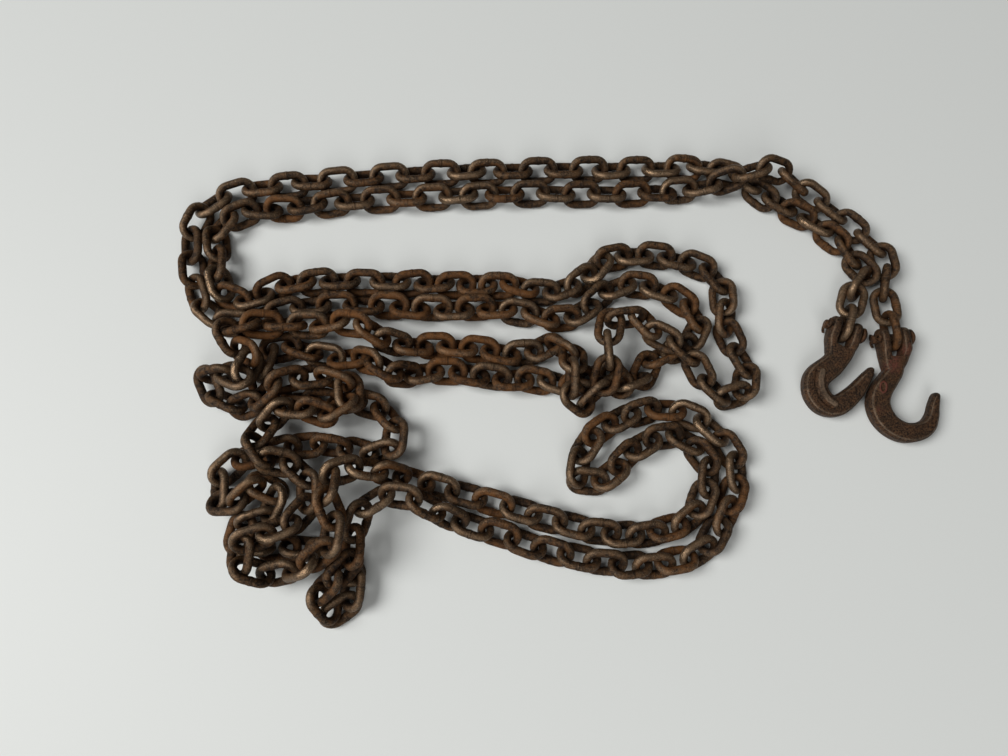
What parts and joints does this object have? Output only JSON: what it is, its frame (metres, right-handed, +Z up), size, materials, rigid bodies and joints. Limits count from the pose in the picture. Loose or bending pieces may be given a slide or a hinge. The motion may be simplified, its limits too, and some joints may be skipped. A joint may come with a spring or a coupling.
{
  "type": "heap of steel chain",
  "caption": "Heap of rusty welded steel chain laid back and forth in a doubled line, with a clevis slip hook and a clevis grab hook on its ends.",
  "frame": {"origin": "on the floor, under the middle of the heap's plan outline", "axes": "+Z up from the floor, +X along the heap's length towards the hooks, +Y towards the strand that runs along the back"},
  "size_m": [0.7552, 0.5182, 0.0639],
  "materials": {
    "chain_steel": "plain steel, brown with rust, worn smooth on the outer sides of the links",
    "hook_steel": "forged steel, rusty, with remains of red paint",
    "pin_steel": "rusty steel pins and cotters"
  },
  "bodies": {
    "chain": {"chain_run_01": "chain_steel", "chain_run_02": "chain_steel", "chain_run_03": "chain_steel", "chain_run_04": "chain_steel", "chain_run_05": "chain_steel", "chain_run_06": "chain_steel", "chain_run_07": "chain_steel", "chain_run_08": "chain_steel", "chain_run_09": "chain_steel", "chain_run_10": "chain_steel", "chain_run_11": "chain_steel", "chain_run_12": "chain_steel", "chain_run_13": "chain_steel", "chain_run_14": "chain_steel", "chain_run_15": "chain_steel", "chain_run_16": "chain_steel", "chain_run_17": "chain_steel", "chain_run_18": "chain_steel", "chain_run_19": "chain_steel", "chain_run_20": "chain_steel", "chain_run_21": "chain_steel", "chain_run_22": "chain_steel", "chain_run_23": "chain_steel", "chain_run_24": "chain_steel", "chain_run_25": "chain_steel", "chain_run_26": "chain_steel", "chain_run_27": "chain_steel", "chain_run_28": "chain_steel", "chain_run_29": "chain_steel", "chain_run_30": "chain_steel", "chain_run_31": "chain_steel", "chain_run_32": "chain_steel", "chain_run_33": "chain_steel", "chain_run_34": "chain_steel", "chain_run_35": "chain_steel", "chain_run_36": "chain_steel", "chain_run_37": "chain_steel", "chain_run_38": "chain_steel", "chain_run_39": "chain_steel", "chain_run_40": "chain_steel", "chain_run_41": "chain_steel", "chain_run_42": "chain_steel", "chain_run_43": "chain_steel", "chain_run_44": "chain_steel", "chain_run_45": "chain_steel", "chain_run_46": "chain_steel", "chain_run_47": "chain_steel", "chain_run_48": "chain_steel"},
    "slip_hook": {"slip_hook": "hook_steel", "slip_hook_cotter": "pin_steel", "slip_hook_pin": "pin_steel"},
    "grab_hook": {"grab_hook": "hook_steel", "grab_hook_cotter": "pin_steel", "grab_hook_pin": "pin_steel"}
  },
  "joints": [
    {"name": "slip_hook_pivot", "type": "hinge", "parent": "chain", "child": "slip_hook", "pos_m": [0.32791, 0.09525, 0.01408], "axis": [-0.9703, -0.2419, 0], "range_deg": [0, 90]},
    {"name": "grab_hook_pivot", "type": "hinge", "parent": "chain", "child": "grab_hook", "pos_m": [0.28041, 0.09525, 0.01408], "axis": [-0.9848, 0.1736, 0], "range_deg": [0, 30]}
  ]
}
